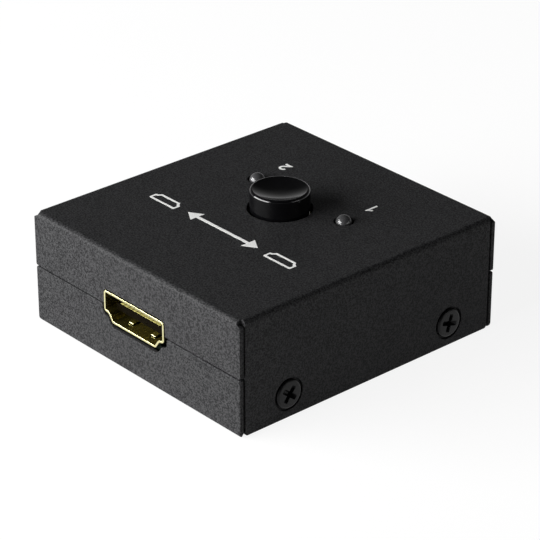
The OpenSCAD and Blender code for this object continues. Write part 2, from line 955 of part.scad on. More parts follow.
module switch_plunger() {
    color(white_plastic) {
        button_block(stem_w, foot_top - eps, stem_top);
        button_block(foot_w, foot_bottom, foot_top);
        button_disc(post_d, post_bottom, foot_bottom + eps);
    }
}

module contact_bridge() {
    color(gold)
        difference() {
            button_block(bridge_w, bridge_bottom, foot_bottom);
            button_disc(bridge_hole_d, bridge_bottom - eps, foot_bottom + eps);
        }
}

// Helical wire between the housing's floor and the plunger's foot
module switch_spring() {
    r = spring_d / 2;
    z0 = cavity_floor + spring_wire / 2;
    z1 = foot_bottom - spring_wire / 2;
    rings = spring_turns * spring_rings_turn;
    sides = spring_ring_sides;
    points = [
        for (k = [0 : rings], j = [0 : sides - 1])
            let (
                a = 360 * k / spring_rings_turn,
                b = 360 * j / sides,
                reach = r + cos(b) * spring_wire / 2,
                rise = (z1 - z0) * k / rings + sin(b) * spring_wire / 2
            )
            [reach * cos(a), button_y + reach * sin(a), z0 + rise]
    ];
    walls = [
        for (k = [0 : rings - 1], j = [0 : sides - 1])
            let (i = (j + 1) % sides, p = k * sides, q = p + sides)
            each [[p + j, p + i, q + i], [p + j, q + i, q + j]]
    ];
    ends = [
        for (j = [1 : sides - 2])
            each [[0, j + 1, j], [rings * sides, rings * sides + j, rings * sides + j + 1]]
    ];
    color(steel)
        polyhedron(points, concat(walls, ends), convexity = 10);
}

module switch_housing() {
    color(black_plastic)
        difference() {
            button_block(switch_w, board_top, housing_top);
            button_block(cavity_w, cavity_floor, housing_top + eps);
            terminals(lead_clearance / 2);
        }
}

module switch_frame() {
    clip_x = switch_w / 2;
    color(steel) {
        difference() {
            button_block(switch_w, housing_top, frame_top);
            button_block(stem_w + 2 * slide_gap, housing_top - eps, frame_top + eps);
        }
        both_sides()
            translate([clip_x, button_y - clip_w / 2, frame_top - clip_len])
                cube([clip_t, clip_w, clip_len]);
    }
}

// Four square pins from below the board to the height where the pressed bridge meets them
module terminals(room) {
    for (place = terminal_places)
        translate(place)
            along_z(tail_z, terminal_top)
                square(terminal_w + 2 * room, center = true);
}

module switch_terminals() {
    color(steel)
        terminals(0);
}

// Pair of lamp leads, each ending in a blade inside the lamp
module lead_pair() {
    for (lead = [-1, 1]) {
        translate([lead * lead_pitch / 2 - lead_w / 2, -lead_w / 2, tail_z])
            cube([lead_w, lead_w, led_base + led_flange_t - tail_z]);
        translate([lead * (lead_w + blade_w) / 2 - blade_w / 2, -lead_w / 2, led_base + led_flange_t / 2])
            cube([blade_w, lead_w, lead_frame_h - led_flange_t / 2]);
    }
}

module at_lamps() {
    for (side = [-1, 1])
        translate([side * led_x, led_y, 0])
            children();
}

module lamp() {
    color(lens_grey, 0.6)
        difference() {
            rotate_extrude() {
                translate([0, led_base])
                    square([led_flange_d / 2, led_flange_t]);
                translate([0, led_base])
                    square([led_d / 2, led_h - led_d / 2]);
                translate([0, led_tip - led_d / 2])
                    intersection() {
                        circle(led_d / 2);
                        square(led_d / 2);
                    }
            }
            lead_pair();
        }
}

module led_1() {
    translate([led_x, led_y, 0])
        lamp();
}

module led_2() {
    translate([-led_x, led_y, 0])
        lamp();
}

module led_leads() {
    color(steel)
        at_lamps()
            lead_pair();
}

module led_spacers() {
    color(white_plastic)
        at_lamps()
            difference() {
                translate([0, 0, board_top])
                    cylinder(d = spacer_d, h = led_base - board_top);
                for (lead = [-1, 1])
                    translate([lead * lead_pitch / 2, 0, board_top - eps])
                        along_z(0, led_base - board_top + 2 * eps)
                            square(lead_w + 2 * lead_clearance, center = true);
            }
}

// Moulded chip body over the board, middle at the origin in X and Y
module chip_body(l, w, t) {
    translate([-l / 2, -w / 2, board_top + chip_standoff])
        cube([l, w, t]);
}

// Rows of bent leads on both long sides of a chip
module chip_leads(w, t, count, pitch) {
    knee = gull_reach / 2;
    waist = chip_standoff + t / 2;
    both_ends()
        for (i = [0 : count - 1])
            translate([(i - (count - 1) / 2) * pitch, w / 2, board_top])
                along_x(-pitch * gull_fill / 2, pitch * gull_fill / 2)
                    polygon([
                        [0, waist], [knee, waist], [knee, gull_t], [gull_reach, gull_t], [gull_reach, 0],
                        [knee - gull_t, 0], [knee - gull_t, waist - gull_t], [0, waist - gull_t]
                    ]);
}

module at_ic() {
    translate([0, -ic_y, 0])
        children();
}

module at_controller() {
    translate([-controller_x, -controller_y, 0])
        children();
}

module switch_ic() {
    color(black_plastic)
        at_ic()
            chip_body(ic_l, ic_w, ic_t);
}

module controller_ic() {
    color(black_plastic)
        at_controller()
            chip_body(controller_l, controller_w, controller_t);
}

module ic_leads() {
    color(steel) {
        at_ic()
            chip_leads(ic_w, ic_t, ic_leads_side, ic_pitch);
        at_controller()
            chip_leads(controller_w, controller_t, controller_leads_side, controller_pitch);
    }
}

// Row of small chips lying on the board beside the near socket
module chip_row(side, t) {
    for (i = [0 : chip_count - 1])
        translate([side * chip_row_x - chip_l / 2, chip_row_y - i * chip_pitch - board_half_d, board_top])
            cube([chip_l, chip_w, t]);
}

module chip_resistors() {
    color(black_plastic)
        chip_row(-1, resistor_t);
}

module chip_capacitors() {
    color("#b08d5f")
        chip_row(1, capacitor_t);
}

top_cover();
bottom_shell();
cover_screws();
circuit_board();
board_standoffs();
board_screws();
common_shell();
common_insulator();
common_contacts();
port_1_shell();
port_1_insulator();
port_1_contacts();
port_2_shell();
port_2_insulator();
port_2_contacts();
button_cap();
switch_plunger();
contact_bridge();
switch_spring();
switch_housing();
switch_frame();
switch_terminals();
led_1();
led_2();
led_leads();
led_spacers();
switch_ic();
controller_ic();
ic_leads();
chip_resistors();
chip_capacitors();
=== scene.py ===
import math

import bmesh
import bpy
import numpy as np
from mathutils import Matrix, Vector
from mathutils.geometry import delaunay_2d_cdt


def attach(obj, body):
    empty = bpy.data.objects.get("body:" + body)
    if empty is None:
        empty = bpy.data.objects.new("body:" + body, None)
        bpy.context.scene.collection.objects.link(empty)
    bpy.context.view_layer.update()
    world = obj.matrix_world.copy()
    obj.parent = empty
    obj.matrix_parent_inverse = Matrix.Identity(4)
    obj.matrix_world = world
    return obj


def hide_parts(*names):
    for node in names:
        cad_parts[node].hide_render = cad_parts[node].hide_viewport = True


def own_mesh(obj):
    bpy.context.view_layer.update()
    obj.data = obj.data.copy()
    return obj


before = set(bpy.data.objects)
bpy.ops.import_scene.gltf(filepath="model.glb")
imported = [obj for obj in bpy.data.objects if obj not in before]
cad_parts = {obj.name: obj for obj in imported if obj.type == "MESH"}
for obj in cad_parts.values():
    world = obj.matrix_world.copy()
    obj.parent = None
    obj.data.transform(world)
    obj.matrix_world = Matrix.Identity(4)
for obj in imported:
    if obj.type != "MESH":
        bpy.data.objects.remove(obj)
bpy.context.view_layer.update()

mm = 0.001  # sizes below are in millimetres


# Finishes

def linear(hexColour):  # sRGB hex to linear RGBA
    srgb = np.array([int(hexColour[i:i + 2], 16) for i in (1, 3, 5)]) / 255
    curve = np.where(srgb <= 0.04045, srgb / 12.92, ((srgb + 0.055) / 1.055) ** 2.4)
    return (*curve.tolist(), 1.0)


def addNode(tree, kind, settings=None, links=None):  # socket values or attributes, then links by socket
    node = tree.nodes.new(kind)
    for key, value in (settings or {}).items():
        if isinstance(key, int) or key in node.inputs:
            node.inputs[key].default_value = value
        else:
            setattr(node, key, value)
    for key, source in (links or {}).items():
        tree.links.new(source, node.inputs[key])
    return node


def makeFinish(name, look):
    # fine grain sets speckle and relief, a broader mottle swings the roughness
    material = bpy.data.materials.new(name)
    material.use_nodes = True
    tree = material.node_tree
    tree.nodes.clear()
    coords = addNode(tree, "ShaderNodeTexCoord")
    place = addNode(tree, "ShaderNodeMapping", {"Scale": look.get("stretch", (1.0, 1.0, 1.0))},
                    {"Vector": coords.outputs["Object"]})
    grain = addNode(tree, "ShaderNodeTexNoise",
                    {"Scale": 1 / (look["grain"] * mm), "Detail": 3.0, "Roughness": 0.6},
                    {"Vector": place.outputs[0]})
    mottle = addNode(tree, "ShaderNodeTexNoise", {"Scale": 1 / (look["mottle"] * mm), "Detail": 2.0},
                     {"Vector": place.outputs[0]})
    spread = look.get("spread", 0.15)
    speck = addNode(tree, "ShaderNodeMapRange", {"From Min": 0.5 - spread, "From Max": 0.5 + spread},
                    {"Value": grain.outputs["Fac"]})
    colour = addNode(tree, "ShaderNodeMix",
                     {"data_type": "RGBA", 6: linear(look["dark"]), 7: linear(look["light"])},
                     {0: speck.outputs[0]})
    smooth, coarse = look["rough"]
    rough = addNode(tree, "ShaderNodeMapRange",
                    {"From Min": 0.3, "From Max": 0.7, "To Min": smooth, "To Max": coarse},
                    {"Value": mottle.outputs["Fac"]})
    relief = addNode(tree, "ShaderNodeBump", {"Strength": 1.0, "Distance": look["relief"] * mm},
                     {"Height": grain.outputs["Fac"]})
    shader = addNode(tree, "ShaderNodeBsdfPrincipled", look.get("shader", {}),
                     {"Base Color": colour.outputs[2], "Roughness": rough.outputs[0],
                      "Normal": relief.outputs[0]})
    addNode(tree, "ShaderNodeOutputMaterial", {}, {"Surface": shader.outputs[0]})
    return material


finishes = {
    # polyester powder coat, sprayed and cured: near-black, matt, with a fine even grit
    "powderCoat": dict(dark="#171718", light="#383839", grain=0.25, mottle=5.0,
                       rough=(0.5, 0.54), relief=0.012, spread=0.1, shader={"Specular IOR Level": 0.06}),
    # hot black oxide on steel: darker and smoother than the coat, catches a soft rim light
    "blackOxide": dict(dark="#0a0a0b", light="#101011", grain=0.2, mottle=1.5,
                       rough=(0.24, 0.34), relief=0.002, shader={"Specular IOR Level": 0.15}),
    # flash gold over nickel on pressed brass: pale yellow mirror, a little streaked by the press
    "flashGold": dict(dark="#dcd59c", light="#e9e4b6", grain=0.5, mottle=1.2,
                      rough=(0.2, 0.3), relief=0.002, stretch=(1.0, 0.2, 1.0), shader={"Metallic": 1.0}),
    # the same flash inside the shells, painted darker as the shade inside them: dark olive, with a glint on the
    # fingers
    "shadedGold": dict(dark="#6e652e", light="#867c42", grain=0.5, mottle=1.2,
                     rough=(0.2, 0.3), relief=0.002, stretch=(1.0, 0.2, 1.0), shader={"Metallic": 0.9}),
    # gold on stamped contacts: a deeper yellow, slightly satin
    "contactGold": dict(dark="#b8af64", light="#c8bf74", grain=0.3, mottle=1.0,
                        rough=(0.5, 0.62), relief=0.002, stretch=(1.0, 0.15, 1.0), shader={"Metallic": 0.25}),
    # liquid crystal polymer, moulded: flat black that swallows the light inside the sockets
    "blackPolymer": dict(dark="#060401", light="#0d0a04", grain=0.3, mottle=2.0,
                         rough=(0.2, 0.3), relief=0.001, shader={"Specular IOR Level": 0.01}),
    # ABS from a polished mould: deep black with sharp reflections and the faintest orange peel
    "polishedAbs": dict(dark="#050506", light="#080809", grain=1.2, mottle=3.0,
                        rough=(0.1, 0.15), relief=0.001, shader={"Specular IOR Level": 0.5}),
    # clear epoxy with a trace of diffuser, cast: smoky grey dome, one bright window in it
    "castEpoxy": dict(dark="#4c4c4d", light="#565657", grain=1.5, mottle=2.0,
                      rough=(0.2, 0.26), relief=0.0008, shader={"Transmission Weight": 0.5, "IOR": 1.53}),
    # screen-printing ink: bright opaque white, dull, with the screen's slight grain
    "screenInk": dict(dark="#e9e9e7", light="#f6f6f4", grain=0.22, mottle=1.0,
                      rough=(0.5, 0.62), relief=0.003, shader={"Specular IOR Level": 0.3}),
    # glass-epoxy laminate under a green solder mask, painted nearly black as the shade it sits in inside the
    # case: satin, with the weave just showing
    "shadedSolderMask": dict(dark="#030805", light="#050d08", grain=0.6, mottle=4.0,
                       rough=(0.35, 0.48), relief=0.004, shader={"Specular IOR Level": 0.2}),
    # steel with clear zinc plating: pale blue-grey metal, finely clouded
    "zincSteel": dict(dark="#b7bcc1", light="#d3d6d9", grain=0.35, mottle=1.5,
                      rough=(0.28, 0.42), relief=0.003, shader={"Metallic": 1.0}),
    # acetal, moulded: warm translucent-looking white with a waxy sheen
    "whiteAcetal": dict(dark="#d9d5cb", light="#e8e5dd", grain=0.5, mottle=3.0,
                        rough=(0.35, 0.48), relief=0.002, shader={"Specular IOR Level": 0.5}),
    # rolled brass strip: yellow metal with rolling lines
    "rolledBrass": dict(dark="#c19a45", light="#d6b563", grain=0.3, mottle=1.0,
                        rough=(0.22, 0.34), relief=0.002, stretch=(0.15, 1.0, 1.0), shader={"Metallic": 1.0}),
    # drawn spring wire: grey steel with a dull drawn skin
    "drawnSteel": dict(dark="#85888c", light="#a5a8ac", grain=0.2, mottle=0.8,
                       rough=(0.26, 0.38), relief=0.002, shader={"Metallic": 1.0}),
    # tin dip on copper leads: soft bright grey, uneven
    "tinDip": dict(dark="#adb0b4", light="#d2d4d6", grain=0.25, mottle=0.9,
                   rough=(0.3, 0.46), relief=0.003, shader={"Metallic": 1.0}),
    # filled epoxy, transfer moulded: charcoal with a sandy skin
    "filledEpoxy": dict(dark="#151517", light="#202022", grain=0.12, mottle=1.2,
                        rough=(0.55, 0.7), relief=0.004, shader={"Specular IOR Level": 0.4}),
    # fired glass glaze on a chip resistor: shiny blue-black
    "firedGlaze": dict(dark="#101117", light="#1b1c25", grain=0.2, mottle=0.8,
                       rough=(0.15, 0.26), relief=0.002, shader={"Specular IOR Level": 0.5}),
    # fired ceramic of a chip capacitor: tan and matt
    "firedCeramic": dict(dark="#9c7748", light="#b99366", grain=0.15, mottle=0.8,
                         rough=(0.5, 0.62), relief=0.003, shader={"Specular IOR Level": 0.4}),
}
finish = {name: makeFinish(name, look) for name, look in finishes.items()}
print("finishes:", len(finish))


# Mesh helpers

def gridFaces(rows, cols, wrap=True):  # quads between neighbouring rows of a grid, rows closed if wrap
    r, c = np.meshgrid(np.arange(rows - 1), np.arange(cols if wrap else cols - 1), indexing="ij")
    n = (c + 1) % cols
    return np.stack([r * cols + c, r * cols + n, (r + 1) * cols + n, (r + 1) * cols + c], -1).reshape(-1, 4)


def joinParts(parts):  # (points, list of face arrays) pairs set one after another
    counts = np.cumsum([0] + [len(points) for points, _ in parts])
    faces = [block + start for (_, blocks), start in zip(parts, counts) for block in blocks]
    return np.concatenate([points for points, _ in parts]), faces


def putPiece(name, part, material, body, replaced=(), sharp=40.0, shadeLining=None):
    # the last argument gives the number of the face block that takes a second material, and that material; the
    # shells use it for a darker gold that paints the shade inside them
    points, faces = part
    mesh = bpy.data.meshes.new(name)
    mesh.from_pydata((points * mm).tolist(), [], [face for block in faces for face in block.tolist()])
    mesh.materials.append(material)
    if shadeLining:
        mesh.materials.append(shadeLining[1])
        inShade = np.repeat(np.arange(len(faces)) == shadeLining[0], [len(block) for block in faces])
        mesh.polygons.foreach_set("material_index", inShade.astype(int))
    work = bmesh.new()
    work.from_mesh(mesh)
    bmesh.ops.remove_doubles(work, verts=work.verts, dist=1e-7)  # closes seams and poles
    bmesh.ops.dissolve_degenerate(work, edges=work.edges, dist=1e-8)
    work.to_mesh(mesh)
    work.free()
    mesh.polygons.foreach_set("use_smooth", np.ones(len(mesh.polygons), dtype=bool))
    mesh.set_sharp_from_angle(angle=math.radians(sharp))
    piece = bpy.data.objects.new(name, mesh)
    bpy.context.scene.collection.objects.link(piece)
    even = piece.modifiers.new("evenShade", "WEIGHTED_NORMAL")  # keeps the flats flat beside small roundings
    even.keep_sharp = True
    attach(piece, body)
    if replaced:
        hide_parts(*replaced)
    print("piece:", name, len(mesh.polygons), "faces")
    return piece


def spin(profile, steps):  # profile of (radius, height) rows turned about Z
    turn = np.linspace(0, 2 * math.pi, steps, endpoint=False)
    r, z = np.asarray(profile, float).T
    x, y = np.outer(r, np.cos(turn)), np.outer(r, np.sin(turn))
    points = np.stack([x, y, np.repeat(z[:, None], steps, 1)], -1)
    return points.reshape(-1, 3), [gridFaces(len(r), steps)]


def arc(cx, cz, radius, start, stop, steps=10):  # points of an arc in a profile, angles in degrees
    turn = np.radians(np.linspace(start, stop, steps + 1))
    return np.stack([cx + radius * np.cos(turn), cz + radius * np.sin(turn)], 1)


def ringOf(centre, radius, steps, phase=0.0):  # clockwise circle or polygon, as a hole's outline runs
    turn = phase - np.linspace(0, 2 * math.pi, steps, endpoint=False)
    return np.asarray(centre) + radius * np.stack([np.cos(turn), np.sin(turn)], 1)


def sideNormals(loop):  # left-hand normals, mitred so that every side moves by the same step
    along = np.roll(loop, -1, 0) - loop
    along = along / np.linalg.norm(along, axis=1, keepdims=True)
    after = np.stack([-along[:, 1], along[:, 0]], 1)
    before = np.roll(after, 1, 0)
    return (before + after) / (1 + (before * after).sum(1, keepdims=True))


def roundOff(corners, steps=6):  # rows of (x, y, radius): each corner becomes an arc tangent to its sides
    corners = np.asarray(corners, float)
    tip, radius = corners[:, :2], corners[:, 2:]
    u, w = np.roll(tip, 1, 0) - tip, np.roll(tip, -1, 0) - tip
    u, w = u / np.linalg.norm(u, axis=1, keepdims=True), w / np.linalg.norm(w, axis=1, keepdims=True)
    half = np.arccos(np.clip((u * w).sum(1, keepdims=True), -1, 1)) / 2
    bisector = (u + w) / np.maximum(np.linalg.norm(u + w, axis=1, keepdims=True), 1e-9)
    centre = tip + bisector * radius / np.sin(half)
    first, last = tip + u * radius / np.tan(half) - centre, tip + w * radius / np.tan(half) - centre
    a, b = np.arctan2(first[:, 1], first[:, 0]), np.arctan2(last[:, 1], last[:, 0])
    sweep = (b - a + math.pi) % (2 * math.pi) - math.pi
    turn = a[:, None] + sweep[:, None] * np.linspace(0, 1, steps + 1)
    points = centre[:, None] + radius[:, None] * np.stack([np.cos(turn), np.sin(turn)], -1)
    keep = (radius > 0) | (np.arange(steps + 1) == 0)
    points[(radius[:, 0] == 0), 0] = tip[radius[:, 0] == 0]
    return points[keep]


def nick(loop, axis, value, low, high):  # adds points where the outline crosses a crease
    other = 1 - axis
    ahead = np.roll(loop, -1, 0)
    gap = ahead[:, axis] - loop[:, axis]
    share = np.where(gap == 0, -1.0, (value - loop[:, axis]) / np.where(gap == 0, 1.0, gap))
    across = loop[:, other] + share * (ahead[:, other] - loop[:, other])
    hit = np.flatnonzero((share > 1e-6) & (share < 1 - 1e-6) & (across >= low) & (across <= high))
    fresh = np.zeros((len(hit), 2))
    fresh[:, axis], fresh[:, other] = value, across[hit]
    return np.insert(loop, hit + 1, fresh, axis=0)


def windingOf(points, loops):  # turns of the outlines round each point: 1 in the sheet, else 0
    total = np.zeros(len(points))
    for loop in loops:
        ray = loop[None] - points[:, None]
        bearing = np.arctan2(ray[..., 1], ray[..., 0])
        total += ((np.roll(bearing, -1, 1) - bearing + math.pi) % (2 * math.pi) - math.pi).sum(1)
    return total / (2 * math.pi)


def formSheet(loops, creases, shape, thick, edge, steps=3):
    # A half-round edge is carried along every outline of the flat blank, outer one anticlockwise and holes
    # clockwise. Both faces are filled between the outlines, with an edge along each crease, and
    # shape(u, v, w) then bends the blank, w being 0 on its outer face and -thick on its inner one.
    for crease in creases:
        loops = [nick(loop, *crease) for loop in loops]
    turn = np.linspace(0, math.pi / 2, steps + 1)
    inset, sink = edge * (1 - np.sin(turn)), edge * (1 - np.cos(turn))
    insets = np.concatenate([inset, inset[::-1]])[:, None, None]
    depths = np.concatenate([-sink, sink[::-1] - thick])
    points, faces, firstRow, lastRow, flat, edges = [], [], [], [], [], []
    count = flatCount = 0
    for loop in loops:
        n, rows = len(loop), len(depths)
        spread = loop[None] + sideNormals(loop)[None] * insets
        points.append(np.concatenate([spread, np.repeat(depths, n).reshape(rows, n, 1)], -1).reshape(-1, 3))
        faces.append(gridFaces(rows, n)[:, ::-1] + count)
        firstRow.append(count + np.arange(n))
        lastRow.append(count + (rows - 1) * n + np.arange(n))
        flat.append(spread[0])
        edges.append(np.stack([np.arange(n), (np.arange(n) + 1) % n], 1) + flatCount)
        count, flatCount = count + rows * n, flatCount + n
    sharp, insetLoops = np.concatenate(loops), flat
    flat, firstRow, lastRow = np.concatenate(flat), np.concatenate(firstRow), np.concatenate(lastRow)
    for axis, value, low, high in creases:
        on = np.flatnonzero((np.abs(sharp[:, axis] - value) < 1e-9) & (sharp[:, 1 - axis] >= low)
                            & (sharp[:, 1 - axis] <= high))
        on = on[np.argsort(sharp[on, 1 - axis])]
        edges.append(on[:len(on) // 2 * 2].reshape(-1, 2))
    links = np.concatenate(edges)
    _, _, fill, origin, _, _ = delaunay_2d_cdt([Vector(p) for p in flat], links.tolist(), [], 1, 1e-7, True)
    origin = np.array([ids[0] for ids in origin])
    fill = origin[np.array(fill)]
    fill = fill[windingOf(flat[fill].mean(1), insetLoops) > 0.5]
    faces += [firstRow[fill], lastRow[fill][:, ::-1]]
    u, v, w = np.concatenate(points).T
    return np.stack(shape(u, v, w), 1), faces


def unfold(drop, radius):  # length along a folded sheet's outer face, for a drop below the plate
    drop = np.asarray(drop, float)
    bent = radius * np.arccos(1 - np.clip(drop / radius, 0, 1))
    return np.where(drop < radius, bent, radius * math.pi / 2 + drop - radius)


def foldOver(s, w, start, radius):  # distance s along the sheet to (reach, drop) after a right-angle fold
    bend = np.clip((s - start) / radius, 0, math.pi / 2)
    rest = np.maximum(s - start - radius * math.pi / 2, 0)
    reach = np.minimum(s, start) + (radius + w) * np.sin(bend)
    return reach, radius - (radius + w) * np.cos(bend) + rest


def foldCreases(axis, start, radius, low, high, steps=8):  # crease lines through a pair of opposite folds
    values = start + radius * np.linspace(0, math.pi / 2, steps + 1)
    return [(axis, side * value, low, high) for side in (-1, 1) for value in values]


# Socket outline, shared by the shells and by the cut-outs round them

socket = dict(width=15.0, height=5.3, sideHeight=3.7, ledgeWidth=12.7, ledgeDrop=0.25, floorWidth=10.8,
              cornerRadius=0.6, leastRadius=0.3, wall=0.35, length=11.4, middle=10.3, mouth=27.5, edge=0.05,
              ports=(11.0, -11.0),
              fingerWidth=1.0, fingerLength=4.4, fingerTip=1.7, fingerReach=0.45, fingerRoll=0.6,
              fingerSlot=0.25, fingerPitch=5.6, legWidth=1.2, legPlaces=(3.0, 9.0), legTop=-0.45, legFoot=4.9)


def socketCorners(grow):  # clockwise (x, z, radius) of the outline, every side moved out by grow
    roof, side = socket["height"] / 2, socket["width"] / 2
    knee = roof - socket["sideHeight"]
    ledge, floor = socket["ledgeWidth"] / 2, socket["floorWidth"] / 2
    step = knee - socket["ledgeDrop"]
    tips = np.array([(-side, roof), (side, roof), (side, knee), (ledge, step), (floor, -roof),
                     (-floor, -roof), (-ledge, step), (-side, knee)])
    radii = socket["cornerRadius"] + grow * np.array([1, 1, 1, -1, 1, 1, -1, 1])
    return np.column_stack([tips + grow * sideNormals(tips), np.maximum(radii, socket["leastRadius"])])


# Cover: one blank, four flanges folded down

cover = dict(width=51.2, depth=54.8, height=20.2, sheet=0.8, fold=0.85, sideHalf=26.3,
             seam=10.42, seamCorner=0.3, reliefTurn=67.5, shoulderDrop=0.95, shoulderRound=0.15,
             skirtCorner=0.5, skirtLift=0.1,
             buttonPlace=(0.0, 3.4), buttonHole=5.42, lampPlace=(10.6, 7.8), lampHole=1.68,
             screwY=17.4, screwZ=4.2, screwHole=1.45, seatRadius=2.85, seatDepth=0.45, cutGap=0.15, edge=0.1)


def coverPart():  # the flat blank's outline, holes and creases, folded down on all four sides
    halfW, halfD = cover["width"] / 2, cover["depth"] / 2
    a, b = halfW - cover["fold"], halfD - cover["fold"]
    skirt = a + float(unfold(cover["height"] - cover["skirtLift"], cover["fold"]))
    down = lambda z: b + float(unfold(cover["height"] - z, cover["fold"]))
    notch = b + cover["fold"] * math.radians(cover["reliefTurn"])
    shoulder = down(cover["height"] - cover["shoulderDrop"])
    free = down(cover["seam"])
    top = socketCorners(cover["cutGap"])[:2]

    def endFlange(centres):  # corners of a flange at +v, from its +u side to its -u side
        corners = [(a, cover["sideHalf"], 0), (a, notch, 0),
                   (halfW, shoulder, cover["shoulderRound"]), (halfW, free, cover["seamCorner"])]
        for centre in centres:
            right, left = centre + top[1, 0], centre + top[0, 0]
            roof = down(socket["middle"] + top[0, 1])
            corners += [(right, free, 0), (right, roof, top[1, 2]), (left, roof, top[0, 2]), (left, free, 0)]
        mirrored = [(-u, v, r) for u, v, r in corners[3::-1]]
        return corners + mirrored

    sideCorner = cover["skirtCorner"]
    right = [(skirt, -cover["sideHalf"], sideCorner), (skirt, cover["sideHalf"], sideCorner)]
    half = right + endFlange(socket["ports"])
    other = [(-u, -v, r) for u, v, r in right + endFlange((0.0,))]
    outline = roundOff(half + other)
    screwU = a + float(unfold(cover["height"] - cover["screwZ"], cover["fold"]))
    lampX, lampY = cover["lampPlace"]
    holes = [(*cover["buttonPlace"], cover["buttonHole"], 96)]
    holes += [(side * lampX, lampY, cover["lampHole"], 48) for side in (-1, 1)]
    holes += [(side * screwU, end * cover["screwY"], cover["seatRadius"], 64)
              for side in (-1, 1) for end in (-1, 1)]
    loops = [outline] + [ringOf((x, y), r, n) for x, y, r, n in holes]
    reach = cover["sideHalf"] + 1e-6
    creases = foldCreases(0, a, cover["fold"], -reach, reach)
    creases += foldCreases(1, b, cover["fold"], -halfW, halfW)

    def shape(u, v, w):  # end flanges fold about X, side flanges about Y, the plate stays flat
        end = np.abs(v) > b + 1e-9
        acrossX, dropX = foldOver(np.abs(u), w, a, cover["fold"])
        acrossY, dropY = foldOver(np.abs(v), w, b, cover["fold"])
        x = np.where(end, u, np.sign(u) * acrossX)
        y = np.where(end, np.sign(v) * acrossY, v)
        return x, y, cover["height"] - np.where(end, dropY, dropX)

    sheet = formSheet(loops, creases, shape, cover["sheet"], cover["edge"])
    return joinParts([sheet] + [seatPart(side, end) for side in (-1, 1) for end in (-1, 1)])


def seatPart(side, end):  # ring of sheet under a screw's head, set in from the flange's outer face
    inner, outer = cover["screwHole"], cover["seatRadius"]
    low, high = -cover["sheet"], -cover["seatDepth"]
    points, faces = spin([(inner, low), (outer, low), (outer, high), (inner, high), (inner, low)], 64)
    x, y, z = points.T
    across, along = side * (cover["width"] / 2 + z), end * cover["screwY"] + side * x
    return np.stack([across, along, cover["screwZ"] + y], 1), faces


coverSheet = putPiece("coverSheet", coverPart(), finish["powderCoat"], "case", ["top_cover"])


# Base: plate with two end flanges and two inner lips

base = dict(seam=10.18, corner=0.4, lipOut=24.7, lipHeight=7.0, lipHalf=24.4, slotEnd=25.0, lipHole=1.3,
            slotStep=0.02, feet=((19.1, -20.1), (19.1, 11.1)), footAcross=4.8, cutGap=0.5, cutDrop=0.4,
            edge=0.22)


def basePart():  # as the cover, with flanges folded up at the ends and lips at the sides
    halfW, halfD, fold = cover["width"] / 2, cover["depth"] / 2, cover["fold"]
    a, b = base["lipOut"] - fold, halfD - fold
    lip = a + float(unfold(base["lipHeight"], fold))
    up = lambda z: b + float(unfold(z, fold))
    low = socketCorners(base["cutGap"])[2:]
    free = up(base["seam"])

    def endFlange(centres):  # its lower corners rounded as they look from the end, a point on each crease
        bend = np.radians(90 / 8 * np.arange(1, 7))
        left = np.maximum(base["corner"] - fold * (1 - np.cos(bend)), 0)
        rounding = halfW - base["corner"] + np.sqrt(base["corner"] ** 2 - left ** 2)
        corners = [(a, base["lipHalf"], 0), (a, base["slotEnd"], 0), (base["lipOut"], base["slotEnd"], 0),
                   (base["lipOut"], b + base["slotStep"], 0)]
        corners += [(x, b + fold * turn, 0) for x, turn in zip(rounding, bend)]
        corners.append((halfW, free, cover["seamCorner"]))
        count = len(corners)
        for centre in centres:
            corners.append((centre + low[0, 0], free, cover["seamCorner"]))
            corners += [(centre + x, up(socket["middle"] + z - base["cutDrop"]), r) for x, z, r in low]
            corners.append((centre + low[-1, 0], free, cover["seamCorner"]))
        mirrored = [(-u, v, r) for u, v, r in corners[count - 1::-1]]
        return corners + mirrored

    right = [(lip, -base["lipHalf"], 0), (lip, base["lipHalf"], 0)]
    half = right + endFlange(socket["ports"])
    other = [(-u, -v, r) for u, v, r in right + endFlange((0.0,))]
    outline = roundOff(half + other)
    screwU = a + float(unfold(cover["screwZ"], fold))
    footR = base["footAcross"] / 2 / math.cos(math.pi / 6)
    places = [(side * x, y) for x, y in base["feet"] for side in (-1, 1)]
    screws = [(side * screwU, end * cover["screwY"]) for side in (-1, 1) for end in (-1, 1)]
    loops = [outline] + [ringOf(p, footR, 6) for p in places]
    loops += [ringOf(p, base["lipHole"], 32) for p in screws]
    reach = base["lipHalf"] + 1e-6
    creases = foldCreases(0, a, fold, -reach, reach) + foldCreases(1, b, fold, -halfW, halfW)

    def shape(u, v, w):  # as the cover's, turned over: the outer face looks down
        end = np.abs(v) > b + 1e-9
        lipZone = ~end & (np.abs(v) < (base["lipHalf"] + base["slotEnd"]) / 2)
        acrossX, riseX = foldOver(np.abs(u), w, a, fold)
        acrossY, riseY = foldOver(np.abs(v), w, b, fold)
        x = -np.where(lipZone, np.sign(u) * acrossX, u)
        y = np.where(end, np.sign(v) * acrossY, v)
        return x, y, np.where(end, riseY, np.where(lipZone, riseX, -w))

    return formSheet(loops, creases, shape, cover["sheet"], base["edge"])


baseSheet = putPiece("baseSheet", basePart(), finish["powderCoat"], "case", ["bottom_shell"])


# Socket shells: a blank with spring fingers, wrapped round the socket's outline

